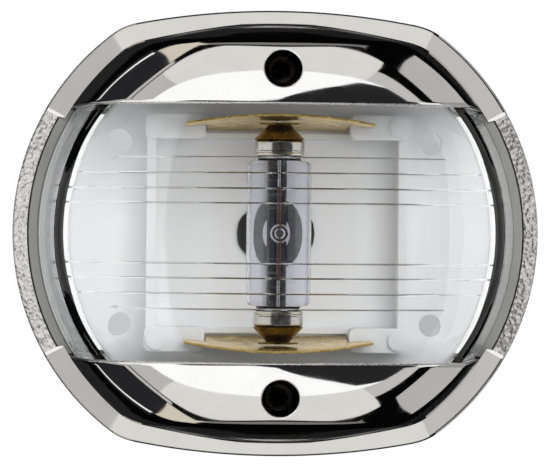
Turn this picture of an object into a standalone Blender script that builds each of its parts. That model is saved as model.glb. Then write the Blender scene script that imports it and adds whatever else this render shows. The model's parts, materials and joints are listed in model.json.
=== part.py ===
"""Bulkhead navigation light: polished steel cover, clear drum lens, festoon bulb.

Metres, +Z up. X runs to the right, -Y points out of the wall, and the origin is the centre of the
gasket's back face. "Depth" below is the distance from the wall, so a depth of d lies at y = -d.
"Inset" is how far a surface lies inside the cover's outer surface.
"""

import math

import bmesh
import bpy
from mathutils import Matrix, Vector

MM = 0.001

# Overall size of the cover
BODY_WIDTH = 93.0 * MM
BODY_HEIGHT = 78.8 * MM
FRONT_DEPTH = 43.4 * MM  # wall to the crown that the cover and the lens share
SIDE_BULGE = 24.4 * MM  # how far the left and right edges round off by the full height
END_BULGE = 8.6 * MM  # how far the top and bottom edges round off by the full width
CORNER_BLEND = 1.0 * MM  # rounding where the side and end arcs meet

# Shape of the raised front
FLANGE_WIDTH = 2.6 * MM
FLANGE_EDGE = 2.2 * MM  # height of the flange's outer edge
FLANGE_RISE = 1.5 * MM  # how much its sloping face rises towards the wall
SIDE_RUN = 3.6 * MM  # how far the side walls lean in by their top
END_RUN = 3.6 * MM  # how far the end walls lean in at their middle
TOP_CORNER_BLEND = 1.6 * MM
FRONT_SIDE_DROP = 18.6 * MM  # fall of the front from its middle to the flange's side edge
FRONT_END_DROP = 15.7 * MM  # fall of the front from its middle to the flange's top edge
FACET_START = 18.0 * MM  # corner facet's edge, from the corner of the wall's top outline
FACET_SLOPE = 0.7
FACET_BLEND = 2.0 * MM
EDGE_FILLET = 1.6 * MM
INSET_LEAN = 1.25  # an inset surface drops this much further, because the front leans

# Walls and clearances
COVER_WALL = 1.5 * MM
LENS_WALL = 2.2 * MM
GAP = 0.3 * MM  # between pieces that touch
WINDOW_HALF = 21.8 * MM  # half height of the opening in the cover
GROOVE_SHAVE = 0.05 * MM  # keeps the window's cut clear of the wall's foot

# Stack on the wall
WALL_GASKET = 1.5 * MM
WALL_GASKET_INSET = 0.6 * MM
TRAY_FLOOR = 2.2 * MM
LENS_SEAL = 0.8 * MM
SEAL_LAP = 0.8 * MM  # how far the seal reaches under the lens's foot

# Cover screws, M3
SCREW_FROM_LENS = 4.9 * MM  # screw's axis to the foot of the lens's inner end wall
WELL_BORE = 3.1 * MM
WELL_WALL = 1.3 * MM
WELL_DEPTH = 10.0 * MM  # front surface to the seat
SEAT_THICKNESS = 1.5 * MM
SCREW_RADIUS = 1.5 * MM
SCREW_HEAD_RADIUS = 2.8 * MM
SCREW_HEAD_HEIGHT = 2.0 * MM
SCREW_HOLE_CLEARANCE = 0.3 * MM
CROSS_WIDTH = 0.7 * MM
CROSS_LENGTH = 3.2 * MM
CROSS_DEPTH = 1.3 * MM
WASHER_RADIUS = 2.6 * MM
WASHER_THICKNESS = 0.5 * MM
POST_HEIGHT = 10.0 * MM  # above the tray's floor
POST_WALL = 0.9 * MM
INSERT_LENGTH = 7.0 * MM
INSERT_WALL = 0.5 * MM
INSERT_CLEARANCE = 0.2 * MM

# Tray
MOUNT_HALF_X = 26.8 * MM
MOUNT_HALF_Z = 15.9 * MM
MOUNT_HOLE = 1.9 * MM
GASKET_HOLE_EXTRA = 0.7 * MM
EAR_INNER_X = 12.4 * MM
EAR_OUTER_X = 22.4 * MM
EAR_INNER_Z = 16.3 * MM
EAR_OUTER_Z = 20.4 * MM
EAR_HEIGHT = 11.0 * MM
EAR_CORNER = 1.1 * MM
PEG_RADIUS = 1.75 * MM
PEG_HEIGHT = 0.7 * MM
PEG_FROM_END = 1.7 * MM
FRAME_WALL = 1.6 * MM
FRAME_HEIGHT = 8.0 * MM

# Cable grommet
CABLE_BORE = 3.2 * MM
GROMMET_NECK = 5.3 * MM
GROMMET_RIM = 6.7 * MM
GROMMET_RIM_THICKNESS = 1.1 * MM
GROMMET_CLEARANCE = 0.3 * MM
GASKET_CENTRE_HOLE = 9.0 * MM
WIRE_COVER_HALF_WIDTH = 2.1 * MM
WIRE_COVER_HALF_LENGTH = 12.2 * MM
WIRE_COVER_HEIGHT = 4.0 * MM
WIRE_COVER_WALL = 0.8 * MM

# Festoon bulb, 11 x 38 mm with 8.5 mm caps, upright on its own axis
BULB_DEPTH = 21.0 * MM
BULB_RADIUS = 5.5 * MM
GLASS_WALL = 0.6 * MM
GLASS_STRAIGHT = 11.6 * MM  # half length of the full width
GLASS_SHOULDER = 13.2 * MM
GLASS_NECK_RADIUS = 3.6 * MM
GLASS_HALF = 15.0 * MM
TIP_RADIUS = 1.65 * MM
TIP_HEIGHT = 0.8 * MM
CAP_RADIUS = 4.25 * MM
CAP_WALL = 0.3 * MM
CAP_START = 13.6 * MM
CAP_SHOULDER = 15.8 * MM
CAP_TIP = 18.6 * MM
CAP_TIP_RADIUS = 1.0 * MM
FILAMENT_RADIUS = 0.35 * MM
FILAMENT_HALF = 8.0 * MM
LEAD_RADIUS = 0.25 * MM

# Brass contacts
LEAF_THICKNESS = 0.4 * MM
LEAF_HALF = 12.1 * MM
LEAF_WING_HALF = 16.0 * MM
LEAF_FOOT_Z = 17.9 * MM
LEAF_END_Z = 18.4 * MM
LEAF_BOW = 1.6 * MM
LEAF_FRONT_DEPTH = 26.0 * MM
WING_GAP = 0.6 * MM
CUP_FLANGE = 3.4 * MM
CUP_MOUTH_START = 16.6 * MM  # centre to the cup's mouth
CUP_WALL = 0.5 * MM
CUP_CLEARANCE = 0.45 * MM
CUP_FLANGE_THICKNESS = 0.3 * MM
LEAF_SLOT_HEIGHT = 1.6 * MM  # ribs on the tray that hold each leaf's foot
LEAF_SLOT_WALL = 1.0 * MM
LEAF_SLOT_CLEARANCE = 0.45 * MM

# How finely round shapes are drawn
OUTLINE_STEPS = 60
FILLET_STEPS = 3
FRONT_STEPS = 5
ROUND_STEPS = 24
SMALL_ROUND_STEPS = 16
HALF_STEP = math.pi / ROUND_STEPS  # turns a round cutter so that its corners miss the dome's edges
SHARP_ANGLE = math.radians(32)
MERGE_DISTANCE = 0.0005 * MM
NEARLY_LEVEL = 0.05  # sine of a direction too level to meet the wall's straight top edge

# What follows from the sizes above
HALF_WIDTH = BODY_WIDTH / 2
HALF_HEIGHT = BODY_HEIGHT / 2
FLANGE_BACK = WALL_GASKET + GAP
FLANGE_TOP = FLANGE_BACK + FLANGE_EDGE + FLANGE_RISE
TRAY_TOP = FLANGE_BACK + TRAY_FLOOR
SEAL_BACK = TRAY_TOP + GAP
LENS_FOOT = SEAL_BACK + LENS_SEAL + GAP
LEAF_FOOT_DEPTH = TRAY_TOP + GAP
LENS_INSET = COVER_WALL + GAP
LENS_INNER_INSET = LENS_INSET + LENS_WALL
SCREW_HEIGHT = HALF_HEIGHT - FLANGE_WIDTH - LENS_INNER_INSET - SCREW_FROM_LENS
CAP_SEAT_INSET = FLANGE_WIDTH + LENS_INSET
SIDE_SEAT_INSET = FLANGE_WIDTH - GROOVE_SHAVE + GAP
SEAL_INNER_INSET = CAP_SEAT_INSET + SEAL_LAP
WALL_TOP_HALF_X = HALF_WIDTH - FLANGE_WIDTH - SIDE_RUN
WALL_TOP_HALF_Z = HALF_HEIGHT - FLANGE_WIDTH - END_RUN
BEYOND = 20 * MM  # how far a cutter runs past what it cuts
OUTWARDS = (0, -1, 0)
UPWARDS = (0, 0, 1)
BULB_CENTRE = (0, -BULB_DEPTH, 0)


def bulge_radius(half_chord, bulge):
    """Radius of the arc that rounds off by this bulge over half its chord."""
    return (half_chord * half_chord + bulge * bulge) / (2 * bulge)


def smooth_min(a, b, blend):
    """The smaller of two lengths, rounded where they differ by less than the blend."""
    nearness = max(blend - abs(a - b), 0) / blend
    return min(a, b) - nearness * nearness * blend / 4


def arc_reach(radius, centre_along, centre_across):
    """Distance from the origin to a circle, along the direction that its centre is given in."""
    return centre_along + math.sqrt(radius * radius - centre_across * centre_across)


def outline_reach(angle, inset):
    """Distance from the centre to the cover's outline at this angle, moved in by the inset."""
    c, s = abs(math.cos(angle)), abs(math.sin(angle))
    side_radius = bulge_radius(HALF_HEIGHT, SIDE_BULGE)
    side_centre = HALF_WIDTH - side_radius
    end_radius = bulge_radius(HALF_WIDTH, END_BULGE)
    end_centre = HALF_HEIGHT - end_radius
    side = arc_reach(side_radius - inset, side_centre * c, side_centre * s)
    end = arc_reach(end_radius - inset, end_centre * s, end_centre * c)
    return smooth_min(side, end, CORNER_BLEND)


def wall_top_reach(angle, inset):
    """Distance from the centre to the top edge of the raised wall at this angle."""
    c, s = abs(math.cos(angle)), abs(math.sin(angle))
    side_radius = bulge_radius(HALF_HEIGHT, SIDE_BULGE)
    side_centre = HALF_WIDTH - side_radius
    side = arc_reach(side_radius - FLANGE_WIDTH - SIDE_RUN - inset, side_centre * c, side_centre * s)
    if s < NEARLY_LEVEL:
        return side
    end = (WALL_TOP_HALF_Z - inset) / s
    return smooth_min(side, end, TOP_CORNER_BLEND)


def front_depth(x, z, inset):
    """Depth of the crowned front, with its four corner facets, at a point of the plan."""
    past_facet = (abs(x) + abs(z) - WALL_TOP_HALF_X - WALL_TOP_HALF_Z) / math.sqrt(2) + FACET_START
    facet = (past_facet + math.hypot(past_facet, FACET_BLEND)) / 2
    drop = FRONT_SIDE_DROP * (x / HALF_WIDTH) ** 2 + FRONT_END_DROP * (z / HALF_HEIGHT) ** 4
    return FRONT_DEPTH - drop - FACET_SLOPE * facet - inset * INSET_LEAN


def polar(reach, angle, depth):
    """Point at this reach and angle in front of the wall."""
    return Vector((reach * math.cos(angle), -depth, reach * math.sin(angle)))


def dome_line(angle, inset, foot_depth):
    """Points up the wall, round its top edge and over the front to near the middle."""
    foot = outline_reach(angle, FLANGE_WIDTH + inset)
    top = wall_top_reach(angle, inset)

    def on_front(reach):
        return front_depth(reach * math.cos(angle), reach * math.sin(angle), inset)

    top_depth = on_front(top)
    wall_length = math.hypot(foot - top, top_depth - foot_depth)
    share = EDGE_FILLET / wall_length
    wall_end = (top + (foot - top) * share, top_depth - (top_depth - foot_depth) * share)
    front_start = (top - EDGE_FILLET, on_front(top - EDGE_FILLET))
    line = [(foot, foot_depth)]
    for step in range(FILLET_STEPS + 1):
        t = step / FILLET_STEPS
        weights = ((1 - t) ** 2, 2 * t * (1 - t), t * t)
        corners = (wall_end, (top, top_depth), front_start)
        line.append(tuple(sum(w * c[i] for w, c in zip(weights, corners)) for i in (0, 1)))
    for step in range(1, FRONT_STEPS):
        reach = front_start[0] * (1 - step / FRONT_STEPS)
        line.append((reach, on_front(reach)))
    return [polar(reach, angle, depth) for reach, depth in line]


def outline_angles(steps=OUTLINE_STEPS):
    return [2 * math.pi * step / steps for step in range(steps)]


def dome_rings(inset, foot_depth):
    """The dome as closed rings, from the wall's foot to the middle of the front."""
    lines = [dome_line(angle, inset, foot_depth) for angle in outline_angles()]
    return [list(ring) for ring in zip(*lines)]


def outline_ring(inset, depth):
    return [polar(outline_reach(angle, inset), angle, depth) for angle in outline_angles()]


def angle_at_height(height, inset):
    """Angle at which the outline reaches this height, on the right."""
    low, high = 0.0, math.pi / 2
    for _ in range(50):
        middle = (low + high) / 2
        if outline_reach(middle, inset) * math.sin(middle) < height:
            low = middle
        else:
            high = middle
    return low


def outline_run(start, end, inset, depth, steps):
    angles = [start + (end - start) * step / steps for step in range(steps + 1)]
    return [polar(outline_reach(angle, inset), angle, depth) for angle in angles]


def window_outline(inset, half_height, depth):
    """The band of the outline between two level cuts."""
    a = angle_at_height(half_height, inset)
    steps = OUTLINE_STEPS // 5
    right = outline_run(-a, a, inset, depth, steps)
    left = outline_run(math.pi - a, math.pi + a, inset, depth, steps)
    return right + left


def seat_outline(depth):
    """What fits inside the cover: wider in the window, where the cover has no wall."""
    half = WINDOW_HALF - GAP
    a = angle_at_height(half, SIDE_SEAT_INSET)
    b = angle_at_height(half, CAP_SEAT_INSET)
    steps = OUTLINE_STEPS // 5
    points = []
    for turn in (0, math.pi):
        points += outline_run(turn - a, turn + a, SIDE_SEAT_INSET, depth, steps)
        points += outline_run(turn + b, turn + math.pi - b, CAP_SEAT_INSET, depth, 2 * steps)
    return points


def loft(rings):
    """A closed solid through rings of equal length, with a flat face at each end.

    Each side is split by the same rule, the mirror image in every other quarter, so that a dome
    fits evenly inside a larger one.
    """
    bm = bmesh.new()
    rows = [[bm.verts.new(point) for point in ring] for ring in rings]
    for lower, upper in zip(rows, rows[1:]):
        for i in range(len(lower)):
            j = (i + 1) % len(lower)
            is_mirrored = 4 * i // len(lower) % 2
            start, end = (j, i) if is_mirrored else (i, j)
            bm.faces.new((lower[start], lower[end], upper[end]))
            bm.faces.new((lower[start], upper[end], upper[start]))
    bm.faces.new(rows[0])
    bm.faces.new(rows[-1])
    bmesh.ops.recalc_face_normals(bm, faces=bm.faces)
    return bm


def prism(outline, thickness):
    """A flat outline made solid, from its own depth outwards."""
    return loft([outline, [point - Vector((0, thickness, 0)) for point in outline]])


def turned(profile, axis, centre, steps=ROUND_STEPS, first_angle=0.0):
    """A profile of (radius, height along the axis) turned about the axis. It closes or ends on the axis."""
    along = Vector(axis)
    across = Matrix.Rotation(first_angle, 3, along) @ Vector((1, 0, 0))
    bm = bmesh.new()
    ring = [bm.verts.new(Vector(centre) + across * radius + along * height) for radius, height in profile]
    edges = []
    for i, (radius, _) in enumerate(profile):
        j = (i + 1) % len(profile)
        is_on_axis = radius == 0 and profile[j][0] == 0
        if not is_on_axis:
            edges.append(bm.edges.new((ring[i], ring[j])))
    bmesh.ops.spin(
        bm,
        geom=ring + edges,
        axis=along,
        cent=centre,
        dvec=(0, 0, 0),
        angle=2 * math.pi,
        steps=steps,
        use_merge=True,
        use_duplicate=False,
    )
    bmesh.ops.remove_doubles(bm, verts=bm.verts, dist=MERGE_DISTANCE)
    bmesh.ops.recalc_face_normals(bm, faces=bm.faces)
    return bm


def rod(radius, start, end, axis, centre, steps=ROUND_STEPS, first_angle=0.0):
    profile = [(0, start), (radius, start), (radius, end), (0, end)]
    return turned(profile, axis, centre, steps, first_angle)


def box(low, high):
    bm = bmesh.new()
    size = Vector(high) - Vector(low)
    middle = (Vector(high) + Vector(low)) / 2
    bmesh.ops.create_cube(bm, size=1, matrix=Matrix.Translation(middle) @ Matrix.Diagonal((*size, 1)))
    return bm


def depth_box(x_range, depth_range, z_range):
    """A box given by its ranges of x, depth and z."""
    return box((x_range[0], -depth_range[1], z_range[0]), (x_range[1], -depth_range[0], z_range[1]))


def material(name, colour, roughness, metallic=0.0, transmission=0.0):
    made = bpy.data.materials.new(name)
    made.use_nodes = True
    made.diffuse_color = (*colour, 1)
    shader = made.node_tree.nodes["Principled BSDF"]
    shader.inputs["Base Color"].default_value = (*colour, 1)
    shader.inputs["Roughness"].default_value = roughness
    shader.inputs["Metallic"].default_value = metallic
    shader.inputs["Transmission Weight"].default_value = transmission
    return made


def add_object(name, bm, surface=None, origin=(0, 0, 0)):
    """Makes an object whose mesh is placed about the given origin."""
    bmesh.ops.translate(bm, verts=bm.verts, vec=-Vector(origin))
    mesh = bpy.data.meshes.new(name)
    bm.to_mesh(mesh)
    bm.free()
    mesh.shade_smooth()
    mesh.set_sharp_from_angle(angle=SHARP_ANGLE)
    obj = bpy.data.objects.new(name, mesh)
    obj.location = origin
    if surface:
        mesh.materials.append(surface)
    bpy.context.scene.collection.objects.link(obj)
    return obj


def add_cutter(name, bm):
    obj = add_object(name, bm)
    obj.hide_render = True
    obj.display_type = "WIRE"
    return obj


def combine(obj, other, operation="DIFFERENCE"):
    modifier = obj.modifiers.new(f"{operation.lower()} {other.name}", "BOOLEAN")
    modifier.operation = operation
    modifier.solver = "EXACT"
    modifier.object = other


def add_pivot(name, location):
    """An empty on a joint's axis."""
    pivot = bpy.data.objects.new(name, None)
    pivot.location = location
    bpy.context.scene.collection.objects.link(pivot)
    return pivot


def hang_on(pivot, *objects):
    for obj in objects:
        obj.parent = pivot
        obj.matrix_parent_inverse = Matrix.Translation(-pivot.location)


def screw_places():
    """Name and height of each cover screw."""
    return (("top", SCREW_HEIGHT), ("bottom", -SCREW_HEIGHT))


def front_at_screw():
    return front_depth(0, SCREW_HEIGHT, 0)


def seat_depth():
    """Depth of the face that a cover screw's washer rests on."""
    return front_at_screw() - WELL_DEPTH


def build_cover(surface):
    """Cast cover: a flange and two hoods, open in front of the lens, with a well for each screw."""
    rings = [
        outline_ring(0, FLANGE_BACK),
        outline_ring(0, FLANGE_BACK + FLANGE_EDGE),
    ]
    cover = add_object("cover_housing", loft(rings + dome_rings(0, FLANGE_TOP)), surface)
    hollow_foot = outline_ring(FLANGE_WIDTH + COVER_WALL, FLANGE_BACK - BEYOND)
    hollow = add_cutter("cover_hollow", loft([hollow_foot] + dome_rings(COVER_WALL, FLANGE_TOP)))
    window = window_outline(FLANGE_WIDTH - GROOVE_SHAVE, WINDOW_HALF, FLANGE_BACK - BEYOND)
    window_cut = add_cutter("window_cut", prism(window, FRONT_DEPTH + 2 * BEYOND))
    well_start = seat_depth() - SEAT_THICKNESS
    for place, z in screw_places():
        centre = (0, 0, z)
        outside = WELL_BORE + WELL_WALL
        well = rod(outside, well_start, FRONT_DEPTH + BEYOND, OUTWARDS, centre, first_angle=HALF_STEP)
        combine(hollow, add_cutter(f"screw_well_{place}", well))
    combine(cover, hollow)
    combine(cover, window_cut)
    for place, z in screw_places():
        hole = SCREW_RADIUS + SCREW_HOLE_CLEARANCE
        profile = [
            (0, well_start - SEAT_THICKNESS),
            (hole, well_start - SEAT_THICKNESS),
            (hole, seat_depth()),
            (WELL_BORE, seat_depth()),
            (WELL_BORE, FRONT_DEPTH + BEYOND),
            (0, FRONT_DEPTH + BEYOND),
        ]
        bore = turned(profile, OUTWARDS, (0, 0, z), first_angle=HALF_STEP)
        combine(cover, add_cutter(f"screw_bore_{place}", bore))
    return cover


def build_lens(surface):
    """Clear drum lens: one shell under the whole cover, notched round the screw wells."""
    lens = add_object("lens", loft(dome_rings(LENS_INSET, LENS_FOOT)), surface)
    foot = outline_ring(FLANGE_WIDTH + LENS_INNER_INSET, LENS_FOOT - BEYOND)
    hollow = loft([foot] + dome_rings(LENS_INNER_INSET, LENS_FOOT))
    combine(lens, add_cutter("lens_hollow", hollow))
    for place, z in screw_places():
        radius = WELL_BORE + WELL_WALL + GAP
        notch_start = seat_depth() - SEAT_THICKNESS - 2 * GAP
        end = FRONT_DEPTH + BEYOND
        notch = rod(radius, notch_start, end, OUTWARDS, (0, 0, z), first_angle=HALF_STEP)
        combine(lens, add_cutter(f"lens_notch_{place}", notch))
    return lens


def build_wall_gasket(surface):
    gasket = add_object("bulkhead_gasket", prism(outline_ring(WALL_GASKET_INSET, 0), WALL_GASKET), surface)
    centre = rod(GASKET_CENTRE_HOLE, -BEYOND, BEYOND, OUTWARDS, (0, 0, 0))
    combine(gasket, add_cutter("gasket_centre_hole", centre))
    for name, x, z in mount_places():
        hole = rod(MOUNT_HOLE + GASKET_HOLE_EXTRA, -BEYOND, BEYOND, OUTWARDS, (x, 0, z), SMALL_ROUND_STEPS)
        combine(gasket, add_cutter(f"gasket_hole_{name}", hole))


def mount_places():
    """Name and place of each hole that the light is screwed to the wall through."""
    places = []
    for side, x in (("left", -MOUNT_HALF_X), ("right", MOUNT_HALF_X)):
        for end, z in (("bottom", -MOUNT_HALF_Z), ("top", MOUNT_HALF_Z)):
            places.append((f"{end}_{side}", x, z))
    return places


def rounded_block(x_range, depth_range, z_range, corner):
    """A block whose edges along the depth are rounded."""
    bm = depth_box(x_range, depth_range, z_range)
    along = [e for e in bm.edges if abs(e.verts[0].co.y - e.verts[1].co.y) > corner]
    bmesh.ops.bevel(bm, geom=along, offset=corner, segments=3, profile=0.5, affect="EDGES")
    return bm


def build_tray(surface):
    """Moulded tray: floor, contact ears with pegs, frame ribs and the posts for the cover screws."""
    tray = add_object("base_tray", prism(seat_outline(FLANGE_BACK), TRAY_FLOOR), surface)
    sunk = TRAY_FLOOR / 2
    for side in (-1, 1):
        ribs = sorted((side * (EAR_OUTER_X - FRAME_WALL), side * EAR_OUTER_X))
        half = EAR_INNER_Z + EAR_CORNER
        rib = depth_box(ribs, (TRAY_TOP - sunk, TRAY_TOP + FRAME_HEIGHT), (-half, half))
        combine(tray, add_cutter(f"frame_rib_{side}", rib), "UNION")
        for end in (-1, 1):
            xs = sorted((side * EAR_INNER_X, side * (EAR_OUTER_X + GAP)))
            zs = sorted((end * EAR_INNER_Z, end * EAR_OUTER_Z))
            depths = (TRAY_TOP - sunk, TRAY_TOP + EAR_HEIGHT)
            ear = rounded_block(xs, depths, zs, EAR_CORNER)
            combine(tray, add_cutter(f"ear_{side}_{end}", ear), "UNION")
            peg_x = side * (EAR_OUTER_X - PEG_FROM_END)
            peg_z = end * (EAR_INNER_Z + EAR_OUTER_Z) / 2
            ear_top = TRAY_TOP + EAR_HEIGHT
            start, top = ear_top - sunk, ear_top + PEG_HEIGHT
            peg = rod(PEG_RADIUS, start, top, OUTWARDS, (peg_x, 0, peg_z), SMALL_ROUND_STEPS)
            combine(tray, add_cutter(f"peg_{side}_{end}", peg), "UNION")
        for is_outer in (False, True):
            combine(tray, add_cutter(f"leaf_slot_{side}_{is_outer}", leaf_slot_rib(side, is_outer)), "UNION")
    for place, z in screw_places():
        post = post_bore() + POST_WALL
        top = TRAY_TOP + POST_HEIGHT
        bore_end = top - INSERT_LENGTH - GAP
        profile = [
            (0, TRAY_TOP - sunk),
            (post, TRAY_TOP - sunk),
            (post, top),
            (post_bore(), top),
            (post_bore(), bore_end),
            (0, bore_end),
        ]
        cup = turned(profile, OUTWARDS, (0, 0, z))
        combine(tray, add_cutter(f"post_{place}", cup), "UNION")
    cable = rod(GROMMET_NECK + GROMMET_CLEARANCE, -BEYOND, BEYOND, OUTWARDS, (0, 0, 0))
    combine(tray, add_cutter("cable_hole", cable))
    for name, x, z in mount_places():
        hole = rod(MOUNT_HOLE, -BEYOND, BEYOND, OUTWARDS, (x, 0, z), SMALL_ROUND_STEPS)
        combine(tray, add_cutter(f"mount_hole_{name}", hole))


def leaf_slot_rib(side, is_outer):
    """One of the two ribs that a contact leaf's foot stands between."""
    if is_outer:
        start = LEAF_FOOT_Z + LEAF_THICKNESS + LEAF_SLOT_CLEARANCE
    else:
        start = LEAF_FOOT_Z - LEAF_SLOT_CLEARANCE - LEAF_SLOT_WALL
    half = EAR_INNER_X + GAP
    zs = sorted((side * start, side * (start + LEAF_SLOT_WALL)))
    return depth_box((-half, half), (TRAY_TOP - TRAY_FLOOR / 2, TRAY_TOP + LEAF_SLOT_HEIGHT), zs)


def post_bore():
    """Radius of the bore that a threaded insert sits in."""
    return SCREW_RADIUS + INSERT_CLEARANCE + INSERT_WALL + GAP


def build_lens_seal(surface):
    seal = add_object("lens_seal", prism(seat_outline(SEAL_BACK), LENS_SEAL), surface)
    inside = prism(outline_ring(SEAL_INNER_INSET, SEAL_BACK - BEYOND), 2 * BEYOND)
    combine(seal, add_cutter("lens_seal_inside", inside))


def build_grommet(surface):
    front = TRAY_TOP + GAP
    back = FLANGE_BACK - GAP
    profile = [
        (CABLE_BORE, back - GROMMET_RIM_THICKNESS),
        (GROMMET_RIM, back - GROMMET_RIM_THICKNESS),
        (GROMMET_RIM, back),
        (GROMMET_NECK, back),
        (GROMMET_NECK, front),
        (GROMMET_RIM, front),
        (GROMMET_RIM, front + GROMMET_RIM_THICKNESS * 0.5),
        (GROMMET_RIM - GROMMET_RIM_THICKNESS * 0.5, front + GROMMET_RIM_THICKNESS),
        (CABLE_BORE, front + GROMMET_RIM_THICKNESS),
    ]
    add_object("cable_grommet", turned(profile, OUTWARDS, (0, 0, 0)), surface)


def arch_ring(radius, foot_depth, crown_depth, z):
    """Outline of a round-topped channel's section at this height."""
    centre = crown_depth - radius
    angles = [math.pi * step / (ROUND_STEPS // 2) for step in range(ROUND_STEPS // 2 + 1)]
    arch = [Vector((radius * math.cos(a), -centre - radius * math.sin(a), z)) for a in angles]
    return [Vector((radius, -foot_depth, z))] + arch + [Vector((-radius, -foot_depth, z))]


def build_wire_cover(surface):
    """Round-topped channel over the supply wires behind the bulb, open at both ends."""
    foot = TRAY_TOP + GAP
    crown = foot + WIRE_COVER_HEIGHT
    half = WIRE_COVER_HALF_LENGTH
    rings = [arch_ring(WIRE_COVER_HALF_WIDTH, foot, crown, z) for z in (-half, half)]
    cover = add_object("wire_cover", loft(rings), surface)
    radius = WIRE_COVER_HALF_WIDTH - WIRE_COVER_WALL
    past = half + BEYOND
    rings = [arch_ring(radius, foot - BEYOND, crown - WIRE_COVER_WALL, z) for z in (-past, past)]
    combine(cover, add_cutter("wire_channel", loft(rings)))
    rim_front = foot + GROMMET_RIM_THICKNESS
    rim = rod(GROMMET_RIM + GAP, foot - BEYOND, rim_front + GAP, OUTWARDS, (0, 0, 0))
    combine(cover, add_cutter("wire_cover_over_grommet", rim))


def build_insert(place, z, surface):
    outer = SCREW_RADIUS + INSERT_CLEARANCE + INSERT_WALL
    inner = SCREW_RADIUS + INSERT_CLEARANCE
    top = TRAY_TOP + POST_HEIGHT
    profile = [
        (inner, top - INSERT_LENGTH),
        (outer, top - INSERT_LENGTH),
        (outer, top),
        (inner, top),
    ]
    insert = turned(profile, OUTWARDS, (0, 0, z), SMALL_ROUND_STEPS)
    add_object(f"threaded_insert_{place}", insert, surface, (0, -top, z))


def build_screw(place, z, surface):
    """Pan head screw with a cross recess, on its own axis."""
    under_head = seat_depth() + GAP + WASHER_THICKNESS + GAP
    end = TRAY_TOP + POST_HEIGHT - INSERT_LENGTH + GAP
    crown = SCREW_HEAD_HEIGHT * 0.45
    profile = [
        (0, end),
        (SCREW_RADIUS * 0.7, end),
        (SCREW_RADIUS, end + SCREW_RADIUS * 0.5),
        (SCREW_RADIUS, under_head),
        (SCREW_HEAD_RADIUS, under_head),
        (SCREW_HEAD_RADIUS, under_head + crown),
        (SCREW_HEAD_RADIUS * 0.92, under_head + SCREW_HEAD_HEIGHT * 0.7),
        (SCREW_HEAD_RADIUS * 0.66, under_head + SCREW_HEAD_HEIGHT * 0.92),
        (0, under_head + SCREW_HEAD_HEIGHT),
    ]
    head_top = under_head + SCREW_HEAD_HEIGHT
    bm = turned(profile, OUTWARDS, (0, 0, z))
    screw = add_object(f"cover_screw_{place}", bm, surface, (0, -head_top, z))
    for turn, (half_x, half_z) in enumerate(((CROSS_LENGTH, CROSS_WIDTH), (CROSS_WIDTH, CROSS_LENGTH))):
        xs = (-half_x / 2, half_x / 2)
        zs = (z - half_z / 2, z + half_z / 2)
        slot = depth_box(xs, (head_top - CROSS_DEPTH, head_top + BEYOND), zs)
        combine(screw, add_cutter(f"cross_{place}_{turn}", slot))
    return screw


def build_washer(place, z, surface):
    """Sealing ring under a cover screw's head."""
    start = seat_depth() + GAP
    inner = SCREW_RADIUS + SCREW_HOLE_CLEARANCE / 2
    profile = [
        (inner, start),
        (WASHER_RADIUS, start),
        (WASHER_RADIUS, start + WASHER_THICKNESS),
        (inner, start + WASHER_THICKNESS),
    ]
    washer = turned(profile, OUTWARDS, (0, 0, z), SMALL_ROUND_STEPS)
    add_object(f"screw_seal_{place}", washer, surface)


def build_bulb_glass(surface):
    outer = [
        (GLASS_NECK_RADIUS, -GLASS_HALF),
        (GLASS_NECK_RADIUS, -GLASS_SHOULDER),
        ((GLASS_NECK_RADIUS + BULB_RADIUS) / 2, -(GLASS_SHOULDER * 0.8 + GLASS_STRAIGHT * 0.2)),
        (BULB_RADIUS - GLASS_WALL * 0.3, -(GLASS_SHOULDER * 0.4 + GLASS_STRAIGHT * 0.6)),
        (BULB_RADIUS, -GLASS_STRAIGHT),
    ]
    outer += [(radius, -height) for radius, height in reversed(outer)]
    inner = [(radius - GLASS_WALL, height) for radius, height in reversed(outer)]
    glass = add_object("bulb_glass", turned(outer + inner, UPWARDS, BULB_CENTRE), surface, BULB_CENTRE)
    tip_start = BULB_DEPTH + BULB_RADIUS - GLASS_WALL
    tip_end = BULB_DEPTH + BULB_RADIUS + TIP_HEIGHT
    tip = rod(TIP_RADIUS, tip_start, tip_end, OUTWARDS, (0, 0, 0), SMALL_ROUND_STEPS)
    combine(glass, add_cutter("bulb_tip", tip), "UNION")
    return glass


def build_bulb_cap(place, side, surface):
    """Conical end cap, open towards the glass."""
    profile = [
        (CAP_RADIUS, CAP_START),
        (CAP_RADIUS, CAP_SHOULDER),
        (CAP_TIP_RADIUS, CAP_TIP),
        (0, CAP_TIP),
        (0, CAP_SHOULDER),
        (CAP_RADIUS - CAP_WALL, CAP_SHOULDER - CAP_WALL),
        (CAP_RADIUS - CAP_WALL, CAP_START),
    ]
    axis = (0, 0, side)
    return add_object(f"bulb_cap_{place}", turned(profile, axis, BULB_CENTRE), surface, BULB_CENTRE)


def cap_cone_radius(height):
    """Radius of a bulb cap's conical end at this height."""
    share = (height - CAP_SHOULDER) / (CAP_TIP - CAP_SHOULDER)
    return CAP_RADIUS + (CAP_TIP_RADIUS - CAP_RADIUS) * share


def build_filament(surface):
    bm = rod(FILAMENT_RADIUS, -FILAMENT_HALF, FILAMENT_HALF, UPWARDS, BULB_CENTRE, 10)
    return add_object("filament", bm, surface, BULB_CENTRE)


def build_lead(place, side, surface):
    """Lead wire from a cap to the filament's end."""
    start = FILAMENT_HALF + GAP
    end = CAP_SHOULDER - CAP_WALL - 2 * GAP
    bm = rod(LEAD_RADIUS, start, end, (0, 0, side), BULB_CENTRE, 10)
    return add_object(f"lead_wire_{place}", bm, surface, BULB_CENTRE)


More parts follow.
